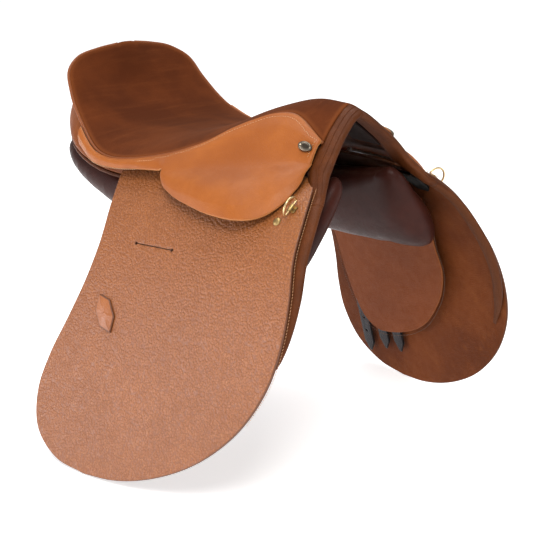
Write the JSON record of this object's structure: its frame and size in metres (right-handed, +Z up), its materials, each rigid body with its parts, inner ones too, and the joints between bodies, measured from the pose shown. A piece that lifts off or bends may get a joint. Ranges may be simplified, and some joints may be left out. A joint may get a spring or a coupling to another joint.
{
  "type": "english saddle",
  "caption": "English riding saddle with a deep suede-like seat, long forward flaps, lifting skirts over stirrup bars, knee rolls, sweat flaps and girth straps.",
  "frame": {"origin": "on the centre plane between the two panels, where the horse's back carries the saddle", "axes": "+X towards the rider's left, -Y forward to the pommel, +Z up"},
  "size_m": [0.5638, 0.5621, 0.4597],
  "materials": {
    "flap_leather": "pebble-grained russet-tan leather, satin",
    "skirt_leather": "smooth orange-tan leather, satin",
    "seat_leather": "dark brown suede-like leather, matte",
    "roll_leather": "orange-brown leather, satin",
    "panel_leather": "dark brown smooth leather, glossy",
    "sweat_leather": "tan-brown leather, rough side out",
    "billet_leather": "black-grey strap leather",
    "foam": "cream latex foam",
    "webbing": "undyed linen webbing",
    "tree_laminate": "laminated beech and glue, dark",
    "steel": "bright steel",
    "brass": "polished brass",
    "nickel": "dark nickel"
  },
  "bodies": {
    "saddle": {"billet_web_left": "webbing", "billet_web_right": "webbing", "cantle_facing": "skirt_leather", "cantle_welt": "roll_leather", "catch_pin_left": "steel", "catch_pin_right": "steel", "dee_clip_left": "brass", "dee_clip_right": "brass", "dee_stud_left": "brass", "dee_stud_right": "brass", "edge_roll_top_left": "roll_leather", "edge_roll_top_right": "roll_leather", "flap_top_left": "flap_leather", "flap_top_right": "flap_leather", "gullet_lining": "roll_leather", "gullet_plate": "steel", "head_plate": "steel", "panel_channel": "panel_leather", "panel_left": "panel_leather", "panel_right": "panel_leather", "pommel_facing": "roll_leather", "pommel_roll": "roll_leather", "seat_cover": "seat_leather", "seat_foam": "foam", "seat_web": "webbing", "skirt_nail_left": "nickel", "skirt_nail_right": "nickel", "skirt_top_left": "skirt_leather", "skirt_top_right": "skirt_leather", "stirrup_bar_left": "steel", "stirrup_bar_right": "steel", "sweat_flap_left": "sweat_leather", "sweat_flap_right": "sweat_leather", "tree_frame": "tree_laminate", "tree_point_left": "steel", "tree_point_right": "steel", "tree_rail_left": "steel", "tree_rail_right": "steel"},
    "flap_left": {"flap_left": "flap_leather", "edge_roll_left": "roll_leather", "keeper_left": "flap_leather"},
    "skirt_left": {"skirt_left": "skirt_leather"},
    "dee_ring_left": {"dee_ring_left": "brass"},
    "bar_catch_left": {"bar_catch_left": "steel"},
    "billet_1_left": {"billet_1_left": "billet_leather"},
    "billet_2_left": {"billet_2_left": "billet_leather"},
    "billet_3_left": {"billet_3_left": "billet_leather"},
    "flap_right": {"flap_right": "flap_leather", "edge_roll_right": "roll_leather", "keeper_right": "flap_leather"},
    "skirt_right": {"skirt_right": "skirt_leather"},
    "dee_ring_right": {"dee_ring_right": "brass"},
    "bar_catch_right": {"bar_catch_right": "steel"},
    "billet_1_right": {"billet_1_right": "billet_leather"},
    "billet_2_right": {"billet_2_right": "billet_leather"},
    "billet_3_right": {"billet_3_right": "billet_leather"}
  },
  "joints": [
    {"name": "flap_hinge_left", "type": "hinge", "parent": "saddle", "child": "flap_left", "pos_m": [0.15706, -0.12006, -0.00076], "axis": [-0.0368, -0.9993, 0], "range_deg": [0, 80]},
    {"name": "skirt_hinge_left", "type": "hinge", "parent": "saddle", "child": "skirt_left", "pos_m": [0.10469, -0.1265, 0.07344], "axis": [-0.3419, -0.9228, 0.1773], "range_deg": [0, 60]},
    {"name": "dee_swing_left", "type": "hinge", "parent": "saddle", "child": "dee_ring_left", "pos_m": [0.11764, -0.24056, 0.04858], "axis": [0.7408, -0.0128, -0.6717], "range_deg": [-15, 60]},
    {"name": "catch_pivot_left", "type": "hinge", "parent": "saddle", "child": "bar_catch_left", "pos_m": [0.11812, -0.09158, 0.05279], "axis": [-0.7722, 0.0124, 0.6353], "range_deg": [0, 60]},
    {"name": "billet_swing_1_left", "type": "hinge", "parent": "saddle", "child": "billet_1_left", "pos_m": [0.15182, -0.06451, -0.00915], "axis": [0.8354, -0.0315, 0.5487], "range_deg": [-5, 5]},
    {"name": "billet_swing_2_left", "type": "hinge", "parent": "saddle", "child": "billet_2_left", "pos_m": [0.15271, -0.04173, -0.00919], "axis": [0.8321, -0.0314, 0.5537], "range_deg": [-5, 5]},
    {"name": "billet_swing_3_left", "type": "hinge", "parent": "saddle", "child": "billet_3_left", "pos_m": [0.15376, -0.01487, -0.00924], "axis": [0.8282, -0.0313, 0.5596], "range_deg": [-5, 5]},
    {"name": "flap_hinge_right", "type": "hinge", "parent": "saddle", "child": "flap_right", "pos_m": [-0.15706, -0.12006, -0.00076], "axis": [-0.0368, 0.9993, 0], "range_deg": [0, 80]},
    {"name": "skirt_hinge_right", "type": "hinge", "parent": "saddle", "child": "skirt_right", "pos_m": [-0.10469, -0.1265, 0.07344], "axis": [-0.3419, 0.9228, -0.1773], "range_deg": [0, 60]},
    {"name": "dee_swing_right", "type": "hinge", "parent": "saddle", "child": "dee_ring_right", "pos_m": [-0.11764, -0.24056, 0.04858], "axis": [0.7408, 0.0128, 0.6717], "range_deg": [-15, 60]},
    {"name": "catch_pivot_right", "type": "hinge", "parent": "saddle", "child": "bar_catch_right", "pos_m": [-0.11812, -0.09158, 0.05279], "axis": [-0.7722, -0.0124, -0.6353], "range_deg": [0, 60]},
    {"name": "billet_swing_1_right", "type": "hinge", "parent": "saddle", "child": "billet_1_right", "pos_m": [-0.15182, -0.06451, -0.00915], "axis": [0.8354, 0.0315, -0.5487], "range_deg": [-5, 5]},
    {"name": "billet_swing_2_right", "type": "hinge", "parent": "saddle", "child": "billet_2_right", "pos_m": [-0.15271, -0.04173, -0.00919], "axis": [0.8321, 0.0314, -0.5537], "range_deg": [-5, 5]},
    {"name": "billet_swing_3_right", "type": "hinge", "parent": "saddle", "child": "billet_3_right", "pos_m": [-0.15376, -0.01487, -0.00924], "axis": [0.8282, 0.0313, -0.5596], "range_deg": [-5, 5]}
  ],
  "couplings": [
    {"joint": "billet_swing_1_left", "follows": "billet_swing_2_left", "ratio": 1},
    {"joint": "billet_swing_3_left", "follows": "billet_swing_2_left", "ratio": 1},
    {"joint": "billet_swing_1_right", "follows": "billet_swing_2_right", "ratio": 1},
    {"joint": "billet_swing_3_right", "follows": "billet_swing_2_right", "ratio": 1}
  ]
}
